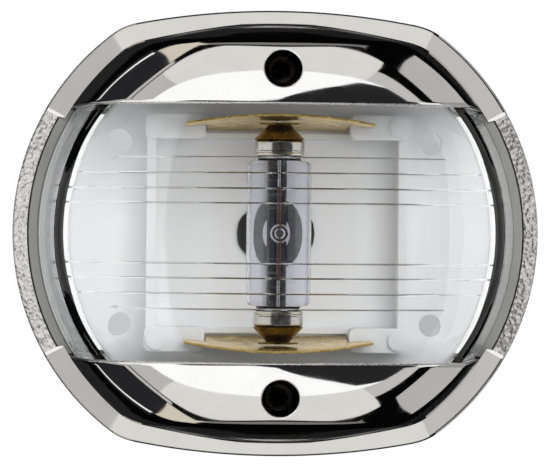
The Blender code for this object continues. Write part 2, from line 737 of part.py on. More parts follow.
def leaf_height(x, depth):
    """Height of a contact leaf's inner face: straight at its foot, bowed at its front edge."""
    share = (depth - LEAF_FOOT_DEPTH) / (LEAF_FRONT_DEPTH - LEAF_FOOT_DEPTH)
    front = LEAF_END_Z + LEAF_BOW * (1 - (x / LEAF_WING_HALF) ** 2)
    return LEAF_FOOT_Z + (front - LEAF_FOOT_Z) * share


def build_leaf(place, side, surface):
    """Brass spring leaf, with a wing at each end in front of the tray's ears."""
    wing_back = TRAY_TOP + EAR_HEIGHT + PEG_HEIGHT + WING_GAP
    inner_steps = 6
    xs = [LEAF_HALF * (2 * step / inner_steps - 1) for step in range(inner_steps + 1)]
    xs = [-LEAF_WING_HALF] + xs + [LEAF_WING_HALF]
    depths = [LEAF_FOOT_DEPTH, wing_back, (wing_back + LEAF_FRONT_DEPTH) / 2, LEAF_FRONT_DEPTH]
    bm = bmesh.new()
    grid = {}
    for i, x in enumerate(xs):
        for j, depth in enumerate(depths):
            grid[i, j] = bm.verts.new((x, -depth, side * leaf_height(x, depth)))
    for i in range(len(xs) - 1):
        for j in range(len(depths) - 1):
            is_beside_foot = i in (0, len(xs) - 2) and j == 0
            if not is_beside_foot:
                bm.faces.new((grid[i, j], grid[i + 1, j], grid[i + 1, j + 1], grid[i, j + 1]))
    loose = [vert for vert in bm.verts if not vert.link_faces]
    bmesh.ops.delete(bm, geom=loose, context="VERTS")
    sheet = bmesh.ops.extrude_face_region(bm, geom=bm.faces[:], use_keep_orig=True)
    raised = [item for item in sheet["geom"] if isinstance(item, bmesh.types.BMVert)]
    bmesh.ops.translate(bm, verts=raised, vec=(0, 0, side * LEAF_THICKNESS))
    bmesh.ops.recalc_face_normals(bm, faces=bm.faces)
    return add_object(f"contact_leaf_{place}", bm, surface, pivot_place(side))


def pivot_place(side):
    """Foot of a contact leaf, which it flexes about."""
    return (0, -LEAF_FOOT_DEPTH, side * LEAF_FOOT_Z)


def build_cup(place, side, surface):
    """Brass cone riveted in the leaf, which centres the bulb's pointed end."""
    top = leaf_height(0, BULB_DEPTH - CUP_FLANGE) - GAP
    neck = top - CUP_FLANGE_THICKNESS
    mouth_bore = cap_cone_radius(CUP_MOUTH_START) + CUP_CLEARANCE
    profile = [
        (cap_cone_radius(top) + CUP_CLEARANCE, top),
        (mouth_bore, CUP_MOUTH_START),
        (mouth_bore + CUP_WALL, CUP_MOUTH_START),
        (cap_cone_radius(neck) + CUP_CLEARANCE + CUP_WALL, neck),
        (CUP_FLANGE, neck),
        (CUP_FLANGE, top),
    ]
    axis = (0, 0, side)
    bm = turned(profile, axis, BULB_CENTRE)
    return add_object(f"contact_cup_{place}", bm, surface, pivot_place(side))


def clear_scene():
    for obj in list(bpy.data.objects):
        bpy.data.objects.remove(obj, do_unlink=True)


def main():
    clear_scene()
    steel = material("polished_stainless_steel", (0.78, 0.78, 0.77), 0.06, metallic=1.0)
    clear = material("clear_polycarbonate", (0.93, 0.94, 0.94), 0.04, transmission=1.0)
    white = material("white_moulded_nylon", (0.82, 0.82, 0.81), 0.45)
    rubber = material("dark_grey_rubber", (0.09, 0.09, 0.09), 0.75)
    black = material("black_rubber", (0.02, 0.02, 0.02), 0.7)
    dark_steel = material("black_oxide_steel", (0.06, 0.06, 0.06), 0.3, metallic=1.0)
    brass = material("sheet_brass", (0.62, 0.42, 0.12), 0.28, metallic=1.0)
    glass = material("bulb_glass", (0.96, 0.97, 0.97), 0.02, transmission=1.0)
    nickel = material("nickel_plate", (0.7, 0.69, 0.66), 0.22, metallic=1.0)
    tungsten = material("tungsten_wire", (0.35, 0.26, 0.22), 0.5, metallic=1.0)

    build_wall_gasket(rubber)
    build_tray(white)
    build_lens_seal(rubber)
    build_grommet(black)
    build_wire_cover(material("black_moulded_plastic", (0.03, 0.03, 0.03), 0.2))
    cover_pivot = add_pivot("cover_slide_axis", (0, -FLANGE_BACK, 0))
    hang_on(cover_pivot, build_cover(steel), build_lens(clear))
    for place, z in screw_places():
        build_insert(place, z, brass)
        build_screw(place, z, dark_steel)
        build_washer(place, z, black)

    bulb_pivot = add_pivot("bulb_axis", BULB_CENTRE)
    hang_on(bulb_pivot, build_bulb_glass(glass), build_filament(tungsten))
    for place, side in (("top", 1), ("bottom", -1)):
        hang_on(bulb_pivot, build_bulb_cap(place, side, nickel), build_lead(place, side, nickel))
        contact_pivot = add_pivot(f"contact_axis_{place}", pivot_place(side))
        hang_on(contact_pivot, build_leaf(place, side, brass), build_cup(place, side, brass))


main()
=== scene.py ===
"""Bulkhead navigation light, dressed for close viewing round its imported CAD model.

Metres, +Z up, -Y out of the wall. "Depth" is the distance from the wall, so a depth of d lies at
y = -d, and "inset" is how far a surface lies inside the cover's outer surface, as in the CAD.
"""

import json
import math

import bmesh
import bpy
from mathutils import Matrix, Vector, noise


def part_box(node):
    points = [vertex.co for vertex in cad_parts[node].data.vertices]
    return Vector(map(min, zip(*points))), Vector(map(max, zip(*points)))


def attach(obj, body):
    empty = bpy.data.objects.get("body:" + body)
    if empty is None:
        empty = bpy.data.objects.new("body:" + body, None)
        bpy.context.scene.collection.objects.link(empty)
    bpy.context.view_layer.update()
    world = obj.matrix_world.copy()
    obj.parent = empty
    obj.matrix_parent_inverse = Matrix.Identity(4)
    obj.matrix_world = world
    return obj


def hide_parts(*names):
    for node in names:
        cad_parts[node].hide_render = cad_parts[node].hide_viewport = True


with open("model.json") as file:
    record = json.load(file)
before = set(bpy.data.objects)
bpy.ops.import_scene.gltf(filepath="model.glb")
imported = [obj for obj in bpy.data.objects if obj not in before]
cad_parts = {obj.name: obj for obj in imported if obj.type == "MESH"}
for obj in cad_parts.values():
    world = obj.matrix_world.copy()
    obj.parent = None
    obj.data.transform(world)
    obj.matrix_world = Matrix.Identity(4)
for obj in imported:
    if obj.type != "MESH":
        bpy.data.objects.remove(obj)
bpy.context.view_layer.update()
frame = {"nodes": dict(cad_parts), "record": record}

MM = 0.001

# ---------------------------------------------------------------- sizes read from the frame
_, COVER_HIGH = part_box("cover_housing")
_, LENS_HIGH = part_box("lens")
SCREW_LOW, SCREW_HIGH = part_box("cover_screw_top")
_, WASHER_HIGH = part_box("screw_seal_top")
GLASS_LOW, GLASS_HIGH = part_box("bulb_glass")
CAP_LOW, CAP_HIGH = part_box("bulb_cap_top")
_, CUP_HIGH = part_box("contact_cup_top")

HALF_WIDTH = COVER_HIGH.x
HALF_HEIGHT = COVER_HIGH.z
FLANGE_BACK = -COVER_HIGH.y
LENS_FOOT = -LENS_HIGH.y
SCREW_HEIGHT = (SCREW_LOW.z + SCREW_HIGH.z) / 2
BULB_DEPTH = -(CAP_LOW.y + CAP_HIGH.y) / 2
BULB_CENTRE = Vector((0, -BULB_DEPTH, 0))

# ---------------------------------------------------------------- sizes shared with the CAD's rules
# The front is 0.1 mm lower than the CAD's rule, so that the smooth surface stays inside the faceted box.
FRONT_DEPTH = 43.3 * MM
SIDE_BULGE = 24.4 * MM
END_BULGE = 8.6 * MM
CORNER_BLEND = 1.0 * MM
FLANGE_WIDTH = 2.6 * MM
FLANGE_EDGE = 2.2 * MM
FLANGE_RISE = 1.5 * MM
SIDE_RUN = 3.6 * MM
END_RUN = 3.6 * MM
TOP_CORNER_BLEND = 1.6 * MM
FRONT_SIDE_DROP = 18.6 * MM
FRONT_END_DROP = 15.7 * MM
FACET_START = 18.0 * MM
FACET_SLOPE = 0.7
FACET_BLEND = 2.0 * MM
EDGE_FILLET = 1.6 * MM
INSET_LEAN = 1.25
COVER_WALL = 1.5 * MM
LENS_WALL = 2.2 * MM
GAP = 0.3 * MM
WINDOW_HALF = 21.8 * MM
WELL_BORE = 3.1 * MM
WELL_WALL = 1.3 * MM
SEAT_THICKNESS = 1.5 * MM
SCREW_HOLE = 1.8 * MM
FLANGE_TOP = FLANGE_BACK + FLANGE_EDGE + FLANGE_RISE
LENS_INSET = COVER_WALL + GAP
LENS_INNER_INSET = LENS_INSET + LENS_WALL
SEAT_DEPTH = -WASHER_HIGH.y - GAP
WALL_TOP_HALF_X = HALF_WIDTH - FLANGE_WIDTH - SIDE_RUN
WALL_TOP_HALF_Z = HALF_HEIGHT - FLANGE_WIDTH - END_RUN

OUTWARDS = Vector((0, -1, 0))
UPWARDS = Vector((0, 0, 1))


# ---------------------------------------------------------------- the cover's form
def bulge_radius(half_chord, bulge):
    """Radius of the arc that rounds off by this bulge over half its chord."""
    return (half_chord * half_chord + bulge * bulge) / (2 * bulge)


SIDE_RADIUS = bulge_radius(HALF_HEIGHT, SIDE_BULGE)
END_RADIUS = bulge_radius(HALF_WIDTH, END_BULGE)


def smooth_min(a, b, blend):
    """The smaller of two lengths, rounded where they differ by less than the blend."""
    nearness = max(blend - abs(a - b), 0) / blend
    return min(a, b) - nearness * nearness * blend / 4


def arc_reach(radius, centre_along, centre_across):
    """Distance from the origin to a circle, along the direction that its centre is given in."""
    return centre_along + math.sqrt(radius * radius - centre_across * centre_across)


def outline_reach(angle, inset):
    """Distance from the centre to the cover's outline at this angle, moved in by the inset."""
    c, s = abs(math.cos(angle)), abs(math.sin(angle))
    side_centre = HALF_WIDTH - SIDE_RADIUS
    end_centre = HALF_HEIGHT - END_RADIUS
    side = arc_reach(SIDE_RADIUS - inset, side_centre * c, side_centre * s)
    end = arc_reach(END_RADIUS - inset, end_centre * s, end_centre * c)
    return smooth_min(side, end, CORNER_BLEND)


def wall_top_reach(angle, inset):
    """Distance from the centre to the top edge of the raised wall at this angle."""
    c, s = abs(math.cos(angle)), abs(math.sin(angle))
    side_centre = HALF_WIDTH - SIDE_RADIUS
    side = arc_reach(SIDE_RADIUS - FLANGE_WIDTH - SIDE_RUN - inset, side_centre * c, side_centre * s)
    if s < 0.05:
        return side
    return smooth_min(side, (WALL_TOP_HALF_Z - inset) / s, TOP_CORNER_BLEND)


def front_depth(x, z, inset):
    """Depth of the crowned front, with its four corner facets, at a point of the plan."""
    past_facet = (abs(x) + abs(z) - WALL_TOP_HALF_X - WALL_TOP_HALF_Z) / math.sqrt(2) + FACET_START
    facet = (past_facet + math.hypot(past_facet, FACET_BLEND)) / 2
    drop = FRONT_SIDE_DROP * (x / HALF_WIDTH) ** 2 + FRONT_END_DROP * (z / HALF_HEIGHT) ** 4
    return FRONT_DEPTH - drop - FACET_SLOPE * facet - inset * INSET_LEAN


def reach_from(start_z, heading, reach_rule, inset):
    """Distance from (0, start_z) to an outline given by its rule, along a heading."""
    low, high = 0.0, 2 * HALF_WIDTH
    for _ in range(36):
        middle = (low + high) / 2
        x = middle * math.cos(heading)
        z = start_z + middle * math.sin(heading)
        if math.hypot(x, z) < reach_rule(math.atan2(z, x), inset):
            low = middle
        else:
            high = middle
    return low


def width_at(z, reach_rule, inset):
    """Half width of an outline at this height."""
    return reach_from(z, 0.0, reach_rule, inset)


def bezier(start, corner, end, steps):
    """Points of a round corner from start to end, both included."""
    points = []
    for step in range(steps + 1):
        t = step / steps
        weights = ((1 - t) ** 2, 2 * t * (1 - t), t * t)
        points.append(tuple(sum(w * p[i] for w, p in zip(weights, (start, corner, end))) for i in (0, 1)))
    return points


def dome_side(foot, foot_depth, top, on_front, wall_steps, fillet_steps, front_steps):
    """Reach and depth from a wall's foot, up and round its top edge, to the middle of the front."""
    top_depth = on_front(top)
    share = EDGE_FILLET / math.hypot(foot - top, top_depth - foot_depth)
    wall_end = (top + (foot - top) * share, top_depth - (top_depth - foot_depth) * share)
    front_start = (top - EDGE_FILLET, on_front(top - EDGE_FILLET))
    line = []
    for step in range(wall_steps):
        t = step / wall_steps
        line.append((foot + (wall_end[0] - foot) * t, foot_depth + (wall_end[1] - foot_depth) * t))
    line += bezier(wall_end, (top, top_depth), front_start, fillet_steps)
    for step in range(1, front_steps + 1):
        reach = front_start[0] * (1 - step / front_steps)
        line.append((reach, on_front(reach)))
    return line


# ---------------------------------------------------------------- mesh and object helpers
def bridge_rows(bm, rows, closed=False, slot=0):
    """Faces between rows of vertices. A closed row runs back to its start."""
    for lower, upper in zip(rows, rows[1:]):
        count = len(lower)
        for i in range(count if closed else count - 1):
            j = (i + 1) % count
            corners = []
            for vert in (lower[i], lower[j], upper[j], upper[i]):
                if vert not in corners:
                    corners.append(vert)
            if len(corners) > 2:
                bm.faces.new(corners).material_index = slot


def rows_of(bm, rows):
    return [[bm.verts.new(point) for point in row] for row in rows]


def make_piece(name, bm, surfaces, sharp=math.radians(35)):
    """A finished object at the origin, from a mesh in place."""
    bmesh.ops.remove_doubles(bm, verts=bm.verts, dist=0.0004 * MM)
    bmesh.ops.recalc_face_normals(bm, faces=bm.faces)
    mesh = bpy.data.meshes.new(name)
    bm.to_mesh(mesh)
    bm.free()
    mesh.shade_smooth()
    mesh.set_sharp_from_angle(angle=sharp)
    for surface in surfaces:
        mesh.materials.append(surface)
    piece = bpy.data.objects.new(name, mesh)
    bpy.context.scene.collection.objects.link(piece)
    return piece


def turned(profile, axis, centre, steps=96):
    """A closed profile of (radius, height along the axis) turned about the axis."""
    across = Vector((1, 0, 0))
    beside = axis.cross(across)
    bm = bmesh.new()
    rows = []
    for radius, height in profile + profile[:1]:
        ring = []
        for step in range(steps):
            a = 2 * math.pi * step / steps
            ring.append(centre + axis * height + (across * math.cos(a) + beside * math.sin(a)) * radius)
        rows.append(ring)
    bridge_rows(bm, rows_of(bm, rows), closed=True)
    bmesh.ops.remove_doubles(bm, verts=bm.verts, dist=0.0004 * MM)
    bmesh.ops.dissolve_degenerate(bm, edges=bm.edges, dist=0.0004 * MM)
    return bm


def apply_modifiers(piece):
    """Bakes a piece's modifiers into its mesh."""
    bpy.context.view_layer.update()
    evaluated = piece.evaluated_get(bpy.context.evaluated_depsgraph_get())
    mesh = bpy.data.meshes.new_from_object(evaluated)
    piece.modifiers.clear()
    piece.data = mesh


def cut_with(piece, bm, sharp=math.radians(35)):
    """Cuts a closed shape out of a piece."""
    mesh = bpy.data.meshes.new("cutter")
    bmesh.ops.recalc_face_normals(bm, faces=bm.faces)
    bm.to_mesh(mesh)
    bm.free()
    cutter = bpy.data.objects.new("cutter", mesh)
    bpy.context.scene.collection.objects.link(cutter)
    modifier = piece.modifiers.new("cut", "BOOLEAN")
    modifier.solver = "EXACT"
    modifier.object = cutter
    apply_modifiers(piece)
    piece.data.shade_smooth()
    piece.data.set_sharp_from_angle(angle=sharp)
    bpy.data.objects.remove(cutter, do_unlink=True)


def soften(node, surface, width, segments=3, angle=math.radians(30), flatten=True):
    """A CAD node's own shape with its sharp edges rounded."""
    bm = bmesh.new()
    bm.from_mesh(frame["nodes"][node].data)
    bmesh.ops.remove_doubles(bm, verts=bm.verts, dist=0.002 * MM)
    if flatten:
        bmesh.ops.dissolve_limit(bm, angle_limit=math.radians(1.0), verts=bm.verts, edges=bm.edges)
    piece = make_piece(node + "_finished", bm, [surface])
    modifier = piece.modifiers.new("round edges", "BEVEL")
    modifier.width = width
    modifier.segments = segments
    modifier.limit_method = "ANGLE"
    modifier.angle_limit = angle
    modifier.harden_normals = False
    apply_modifiers(piece)
    piece.data.shade_smooth()
    piece.data.set_sharp_from_angle(angle=math.radians(50))
    return piece


def ride_along(piece, body):
    """The piece rides on a body beside the one that takes the CAD node's place."""
    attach(piece, body)
    return piece


def stand_for(piece, node):
    """The piece takes a CAD node's place, on the node's body."""
    ride_along(piece, node_body(node))
    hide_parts(node)
    return piece


def node_body(node):
    for body, nodes in frame["record"]["behaviour"]["bodies"].items():
        if node in nodes:
            return body
    raise ValueError(node)


# ---------------------------------------------------------------- materials
def colour(code):
    """Linear RGBA of an sRGB hex colour."""
    values = [int(code[i : i + 2], 16) / 255 for i in (1, 3, 5)]
    return (*[v / 12.92 if v <= 0.04045 else ((v + 0.055) / 1.055) ** 2.4 for v in values], 1.0)


def per(size):
    """Texture scale of a pattern that repeats over this many metres."""
    return 1.0 / size


def add_node(tree, kind, inputs=None, **settings):
    """Adds a node with its settings, and sets or links its inputs."""
    made = tree.nodes.new(kind)
    for name, value in settings.items():
        setattr(made, name, value)
    for key, value in (inputs or {}).items():
        if isinstance(value, bpy.types.NodeSocket):
            tree.links.new(value, made.inputs[key])
        else:
            made.inputs[key].default_value = value
    return made


def new_surface(name, **shader_values):
    """A material with its shader's constant sockets set. Returns it with its tree, shader and coordinates."""
    made = bpy.data.materials.new(name)
    made.use_nodes = True
    tree = made.node_tree
    shader = tree.nodes["Principled BSDF"]
    for key, value in shader_values.items():
        shader.inputs[key.replace("_", " ")].default_value = value
    place = add_node(tree, "ShaderNodeTexCoord").outputs["Object"]
    return made, tree, shader, place


def mix_colours(tree, factor, dark, light):
    """Colour output that runs from dark to light with the factor."""
    mixed = tree.nodes.new("ShaderNodeMix")
    mixed.data_type = "RGBA"
    tree.links.new(factor, mixed.inputs[0])
    mixed.inputs[6].default_value = dark
    mixed.inputs[7].default_value = light
    return mixed.outputs[2]


def mirror_polished_cast_steel():
    """Cast 316 stainless steel, buffed by hand: mirror bright, faintly wavy, with hairline buffing marks."""
    made, tree, shader, place = new_surface("mirror_polished_cast_steel", Metallic=1.0)
    wave = add_node(tree, "ShaderNodeTexNoise", {"Vector": place, "Scale": per(9 * MM), "Detail": 1.0})
    stretched = add_node(tree, "ShaderNodeMapping", {"Vector": place, "Scale": (1.0, 0.15, 0.25)})
    hairs = add_node(
        tree, "ShaderNodeTexNoise", {"Vector": stretched.outputs[0], "Scale": per(0.25 * MM), "Detail": 3.0}
    )
    smears = add_node(tree, "ShaderNodeTexNoise", {"Vector": place, "Scale": per(5 * MM), "Detail": 4.0})
    rough = add_node(
        tree,
        "ShaderNodeMapRange",
        {"Value": smears.outputs["Fac"], "From Min": 0.35, "From Max": 0.7, "To Min": 0.035, "To Max": 0.085},
    )
    tone = mix_colours(tree, smears.outputs["Fac"], colour("#D3D2CF"), colour("#E0DFDC"))
    hair_bump = add_node(
        tree, "ShaderNodeBump", {"Height": hairs.outputs["Fac"], "Strength": 0.5, "Distance": 0.0012 * MM}
    )
    wave_bump = add_node(
        tree,
        "ShaderNodeBump",
        {
            "Height": wave.outputs["Fac"],
            "Strength": 1.0,
            "Distance": 0.02 * MM,
            "Normal": hair_bump.outputs[0],
        },
    )
    tree.links.new(tone, shader.inputs["Base Color"])
    tree.links.new(rough.outputs[0], shader.inputs["Roughness"])
    tree.links.new(wave_bump.outputs[0], shader.inputs["Normal"])
    return made


def as_cast_steel():
    """Cast 316 stainless steel left as it came from the mould: bright, pitted and hammered-looking."""
    made, tree, shader, place = new_surface("as_cast_steel", Metallic=0.92)
    pits = add_node(
        tree,
        "ShaderNodeTexVoronoi",
        {"Vector": place, "Scale": per(0.75 * MM), "Smoothness": 0.6},
        feature="SMOOTH_F1",
    )
    grain = add_node(tree, "ShaderNodeTexNoise", {"Vector": place, "Scale": per(0.5 * MM), "Detail": 5.0})
    tone = mix_colours(tree, grain.outputs["Fac"], colour("#6C6A66"), colour("#F3F2EF"))
    rough = add_node(
        tree,
        "ShaderNodeMapRange",
        {"Value": grain.outputs["Fac"], "From Min": 0.3, "From Max": 0.7, "To Min": 0.16, "To Max": 0.34},
    )
    pit_bump = add_node(
        tree, "ShaderNodeBump", {"Height": pits.outputs["Distance"], "Strength": 1.0, "Distance": 0.22 * MM}
    )
    grain_bump = add_node(
        tree,
        "ShaderNodeBump",
        {
            "Height": grain.outputs["Fac"],
            "Strength": 0.7,
            "Distance": 0.1 * MM,
            "Normal": pit_bump.outputs[0],
        },
    )
    tree.links.new(tone, shader.inputs["Base Color"])
    tree.links.new(rough.outputs[0], shader.inputs["Roughness"])
    tree.links.new(grain_bump.outputs[0], shader.inputs["Normal"])
    return made


def clear_polycarbonate():
    """Injection-moulded clear polycarbonate: glossy, with faint flow ripples."""
    made, tree, shader, place = new_surface(
        "clear_polycarbonate",
        IOR=1.55,
        Transmission_Weight=1.0,
        Base_Color=colour("#FBFCFC"),
    )
    flow = add_node(tree, "ShaderNodeTexNoise", {"Vector": place, "Scale": per(14 * MM), "Detail": 2.0})
    rough = add_node(
        tree,
        "ShaderNodeMapRange",
        {"Value": flow.outputs["Fac"], "To Min": 0.0, "To Max": 0.03},
    )
    ripple = add_node(
        tree, "ShaderNodeBump", {"Height": flow.outputs["Fac"], "Strength": 0.5, "Distance": 0.02 * MM}
    )
    tree.links.new(rough.outputs[0], shader.inputs["Roughness"])
    tree.links.new(ripple.outputs[0], shader.inputs["Normal"])
    return made


def bulb_glass():
    """Drawn soda-lime glass tube: clear, slightly grey-lilac, with faint drawing lines along it."""
    made, tree, shader, place = new_surface(
        "soda_lime_glass",
        IOR=1.52,
        Transmission_Weight=1.0,
        Base_Color=colour("#F1F1F7"),
        Roughness=0.0,
    )
    drawn = add_node(tree, "ShaderNodeMapping", {"Vector": place, "Scale": (1.0, 1.0, 0.02)})
    lines = add_node(
        tree, "ShaderNodeTexNoise", {"Vector": drawn.outputs[0], "Scale": per(1.4 * MM), "Detail": 2.0}
    )
    bump = add_node(
        tree, "ShaderNodeBump", {"Height": lines.outputs["Fac"], "Strength": 0.6, "Distance": 0.01 * MM}
    )
    tree.links.new(bump.outputs[0], shader.inputs["Normal"])
    return made


def moulded_surface(name, dark, light, roughness, grain, depth, **extra):
    """A moulded matt surface: fine spark-eroded grain over broad tone changes."""
    made, tree, shader, place = new_surface(name, **extra)
    clouds = add_node(tree, "ShaderNodeTexNoise", {"Vector": place, "Scale": per(12 * MM), "Detail": 3.0})
    tone = mix_colours(tree, clouds.outputs["Fac"], colour(dark), colour(light))
    fine = add_node(tree, "ShaderNodeTexNoise", {"Vector": place, "Scale": per(grain), "Detail": 4.0})
    rough = add_node(
        tree,
        "ShaderNodeMapRange",
        {"Value": fine.outputs["Fac"], "To Min": roughness - 0.08, "To Max": roughness + 0.08},
    )
    bump = add_node(
        tree, "ShaderNodeBump", {"Height": fine.outputs["Fac"], "Strength": 0.6, "Distance": depth}
    )
    tree.links.new(tone, shader.inputs["Base Color"])
    tree.links.new(rough.outputs[0], shader.inputs["Roughness"])
    tree.links.new(bump.outputs[0], shader.inputs["Normal"])
    return made


def rolled_sheet_brass():
    """Half-hard rolled brass, with rolling lines along it and a film of tarnish that scatters some light."""
    made, tree, shader, place = new_surface("rolled_sheet_brass", Metallic=0.72)
    rolled = add_node(tree, "ShaderNodeMapping", {"Vector": place, "Scale": (0.05, 1.0, 1.0)})
    lines = add_node(
        tree, "ShaderNodeTexNoise", {"Vector": rolled.outputs[0], "Scale": per(0.3 * MM), "Detail": 3.0}
    )
    stain = add_node(tree, "ShaderNodeTexNoise", {"Vector": place, "Scale": per(3 * MM), "Detail": 5.0})
    tone = mix_colours(tree, stain.outputs["Fac"], colour("#D8AE4C"), colour("#FBE7A6"))
    rough = add_node(
        tree,
        "ShaderNodeMapRange",
        {"Value": stain.outputs["Fac"], "From Min": 0.3, "From Max": 0.7, "To Min": 0.16, "To Max": 0.34},
    )
    bump = add_node(
        tree, "ShaderNodeBump", {"Height": lines.outputs["Fac"], "Strength": 0.5, "Distance": 0.006 * MM}
    )
    tree.links.new(tone, shader.inputs["Base Color"])
    tree.links.new(rough.outputs[0], shader.inputs["Roughness"])
    tree.links.new(bump.outputs[0], shader.inputs["Normal"])
    return made


def plated_metal(name, dark, light, low, high, mark):
    """A thin metal finish over a pressed or turned part, with small handling marks."""
    made, tree, shader, place = new_surface(name, Metallic=1.0)
    marks = add_node(tree, "ShaderNodeTexNoise", {"Vector": place, "Scale": per(mark), "Detail": 4.0})
    tone = mix_colours(tree, marks.outputs["Fac"], colour(dark), colour(light))
    rough = add_node(
        tree,
        "ShaderNodeMapRange",
        {"Value": marks.outputs["Fac"], "From Min": 0.3, "From Max": 0.7, "To Min": low, "To Max": high},
    )
    bump = add_node(
        tree, "ShaderNodeBump", {"Height": marks.outputs["Fac"], "Strength": 0.4, "Distance": 0.02 * MM}
    )
    tree.links.new(tone, shader.inputs["Base Color"])
    tree.links.new(rough.outputs[0], shader.inputs["Roughness"])
    tree.links.new(bump.outputs[0], shader.inputs["Normal"])
    return made


# ---------------------------------------------------------------- the cover
EDGE_ROUND = 0.35 * MM
CORNER_FLANGE = 1.1 * MM  # how much wider the flange is at the window than at the top
WALL_LAP = 0.15 * MM  # how far the wider flange reaches in under the wall
HOOD_COLUMNS = 180
HOOD_ROWS = (6, 9, 46)
STRIP_STEP = 0.3 * MM
STRIP_ROUGHNESS = 0.16 * MM
STRIP_EASE = 0.9 * MM
FLANGE_COLUMNS = 720
FLANGE_LIP = (0.45 * MM, 0.26 * MM)
WELL_STEPS = 72
FLANGE_SLOPE_STEPS = 8


def corner_width(heading):
    """How much wider than at the top the flange is, along a heading from the window's edge."""
    return CORNER_FLANGE * math.cos(heading) ** 4


def hood_column(heading, side, inset):
    """Points of one hood from its foot to the middle of the window's edge, along a heading."""
    start_z = WINDOW_HALF + EDGE_ROUND
    extra = corner_width(heading) if inset == 0 else 0.0
    foot = reach_from(start_z, heading, outline_reach, FLANGE_WIDTH + extra + inset)
    top = reach_from(start_z, heading, wall_top_reach, inset + extra / 2)

    def on_front(reach):
        return front_depth(reach * math.cos(heading), start_z + reach * math.sin(heading), inset)

    line = dome_side(foot, FLANGE_TOP, top, on_front, *HOOD_ROWS)
    if inset == 0:
        root = EDGE_ROUND * 1.3
        lifted = (line[0][0] - root * 0.16, FLANGE_TOP + root)
        root_curve = bezier((foot + root, FLANGE_TOP - root * 0.55), (foot, FLANGE_TOP), lifted, 4)
        line = root_curve + line[1:]
    else:
        line = [(foot, FLANGE_TOP - EDGE_ROUND * t / 4) for t in (4, 3, 2, 1)] + line
    points = []
    for reach, depth in line:
        x = reach * math.cos(heading)
        points.append(Vector((x, -depth, side * (start_z + reach * math.sin(heading)))))
    return points


def hood(bm, side):
    """One hood: outer skin, rolled window edge, inner skin and the foot that joins them."""
    columns = {}
    for inset in (0, COVER_WALL):
        headings = [math.pi * step / HOOD_COLUMNS for step in range(HOOD_COLUMNS + 1)]
        skin = rows_of(bm, [hood_column(heading, side, inset) for heading in headings])
        pole = skin[0][-1]
        for column in skin:
            if column[-1] is not pole:
                bm.verts.remove(column[-1])
                column[-1] = pole
        bridge_rows(bm, skin)
        columns[inset] = skin
    outer, inner = columns[0], columns[COVER_WALL]
    outer_edge = outer[0] + outer[-1][-2::-1]
    inner_edge = inner[0] + inner[-1][-2::-1]
    lip = [outer_edge]
    for t in (0.3, 0.65, 1.0):
        lip.append([rolled_point(bm, vert.co, side, t, -1) for vert in outer_edge])
    lip.append([rolled_point(bm, vert.co, side, 1.0, 1) for vert in inner_edge])
    lip.append(inner_edge)
    bridge_rows(bm, lip, slot=1)
    bridge_rows(bm, [[column[0] for column in outer], [column[0] for column in inner]])


def rolled_point(bm, point, side, share, towards):
    """A point of the window's rolled edge: level with the cut at share 1."""
    turn = share * math.pi / 2
    drop = EDGE_ROUND * (1 - math.cos(turn)) * towards
    z = side * (WINDOW_HALF + EDGE_ROUND * (1 - math.sin(turn)))
    return bm.verts.new((point.x, point.y - drop, z))


def flange_profile(angle):
    """Inset and depth round the flange's section at this angle, and how much of the strip it is, 0 to 1."""
    reach = outline_reach(angle, 0)
    x, z = reach * abs(math.cos(angle)), reach * abs(math.sin(angle))
    share = min(max((WINDOW_HALF - z) / STRIP_EASE, 0), 1)
    extra = 0.0
    if z > WINDOW_HALF:
        extra = corner_width(math.atan2(z - WINDOW_HALF, x)) + WALL_LAP
    edge = FLANGE_TOP - FLANGE_RISE - STRIP_STEP * share
    slope = (FLANGE_RISE - FLANGE_LIP[1]) / (FLANGE_WIDTH - FLANGE_LIP[0])
    width = FLANGE_WIDTH + extra
    line = [(0.0, FLANGE_BACK), (0.0, (FLANGE_BACK + edge) / 2)]
    lip = (FLANGE_LIP[0], edge + FLANGE_LIP[1])
    line += bezier((0.0, edge - 0.5 * MM), (0.0, edge), lip, 4)
    for k in range(1, FLANGE_SLOPE_STEPS + 1):
        inset = lip[0] + (width - lip[0]) * k / FLANGE_SLOPE_STEPS
        line.append((inset, lip[1] + slope * (inset - lip[0])))
    line += [(width, FLANGE_TOP - 0.5 * MM), (width, FLANGE_BACK)]
    return line, share


def flange(bm):
    """The flat ring round the cover: polished beside the hoods, as cast beside the lens."""
    columns = []
    shares = []
    for step in range(FLANGE_COLUMNS):
        angle = 2 * math.pi * (step + 0.5) / FLANGE_COLUMNS
        line, share = flange_profile(angle)
        column = []
        for k, (inset, depth) in enumerate(line):
            reach = outline_reach(angle, inset)
            if 2 < k < len(line) - 1:
                place = Vector((reach * math.cos(angle), depth, reach * math.sin(angle)))
                depth -= STRIP_ROUGHNESS * share * (0.5 + 0.5 * noise.noise(place * per(0.8 * MM)))
            column.append(bm.verts.new((reach * math.cos(angle), -depth, reach * math.sin(angle))))
        columns.append(column)
        shares.append(share)
    count = len(columns[0])
    for i, column in enumerate(columns):
        after = columns[(i + 1) % len(columns)]
        slot = 1 if shares[i] > 0 and shares[(i + 1) % len(columns)] > 0 else 0
        for k in range(count):
            j = (k + 1) % count
            bm.faces.new((column[k], after[k], after[j], column[j])).material_index = slot


